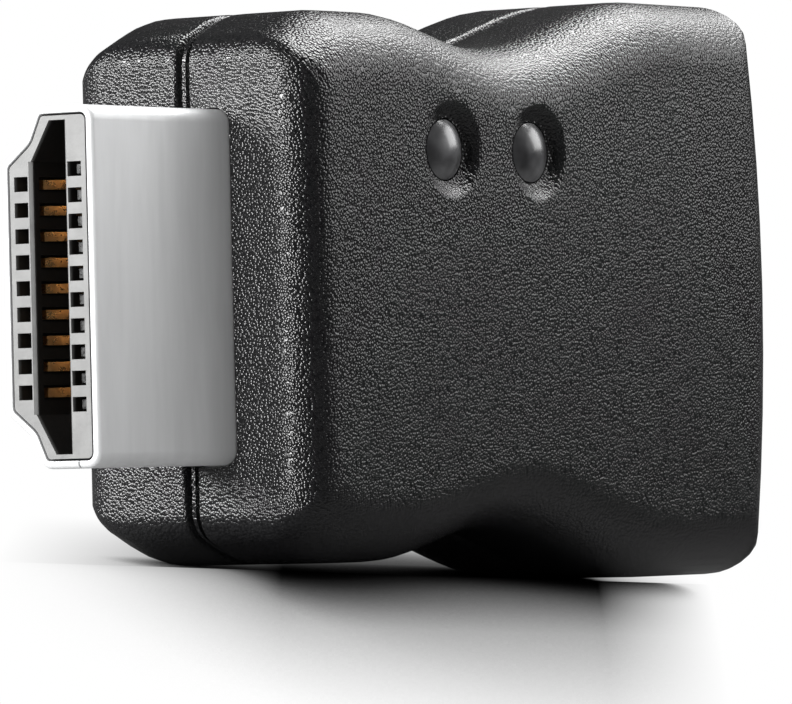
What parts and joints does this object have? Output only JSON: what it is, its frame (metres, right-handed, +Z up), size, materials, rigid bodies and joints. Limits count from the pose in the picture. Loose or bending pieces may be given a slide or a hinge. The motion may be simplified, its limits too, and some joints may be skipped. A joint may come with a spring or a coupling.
{
  "type": "display emulator",
  "caption": "Small black two-part dongle with a waisted body, a metal video plug with a slotted insert, and two clear lamps in round recesses.",
  "frame": {"origin": "centre of the bounding box's bottom face, on the floor that the part stands on", "axes": "+Z up as it stands on its narrow side, -X the way the plug points, -Y the side with the lamps"},
  "size_m": [0.0425, 0.0118, 0.0239],
  "materials": {
    "cover": "textured black",
    "plug_steel": "satin nickel",
    "insert_plastic": "plain",
    "contact_gold": "gold flash",
    "board": "solder mask",
    "chip_black": "moulded",
    "tinned_metal": "tinned",
    "resistor_black": "glazed",
    "capacitor_tan": "ceramic",
    "lamp_clear": "clear epoxy"
  },
  "bodies": {
    "root": {"front_cover": "cover", "back_cover": "cover", "plug_shell": "plug_steel", "plug_insert": "insert_plastic", "circuit_board": "board", "memory_chip": "chip_black", "controller_chip": "chip_black", "voltage_regulator": "chip_black", "crystal": "tinned_metal", "hot_plug_resistor": "resistor_black", "clock_resistor": "resistor_black", "data_resistor": "resistor_black", "lamp_resistor_1": "resistor_black", "lamp_resistor_2": "resistor_black", "supply_capacitor": "capacitor_tan", "chip_capacitor": "capacitor_tan", "crystal_capacitor_1": "capacitor_tan", "crystal_capacitor_2": "capacitor_tan", "lamp_1": "lamp_clear", "lamp_2": "lamp_clear", "lamp_1_leads": "tinned_metal", "lamp_2_leads": "tinned_metal", "contact_01": "contact_gold", "contact_02": "contact_gold", "contact_03": "contact_gold", "contact_04": "contact_gold", "contact_05": "contact_gold", "contact_06": "contact_gold", "contact_07": "contact_gold", "contact_08": "contact_gold", "contact_09": "contact_gold", "contact_10": "contact_gold", "contact_11": "contact_gold", "contact_12": "contact_gold", "contact_13": "contact_gold", "contact_14": "contact_gold", "contact_15": "contact_gold", "contact_16": "contact_gold", "contact_17": "contact_gold", "contact_18": "contact_gold", "contact_19": "contact_gold"}
  },
  "joints": []
}
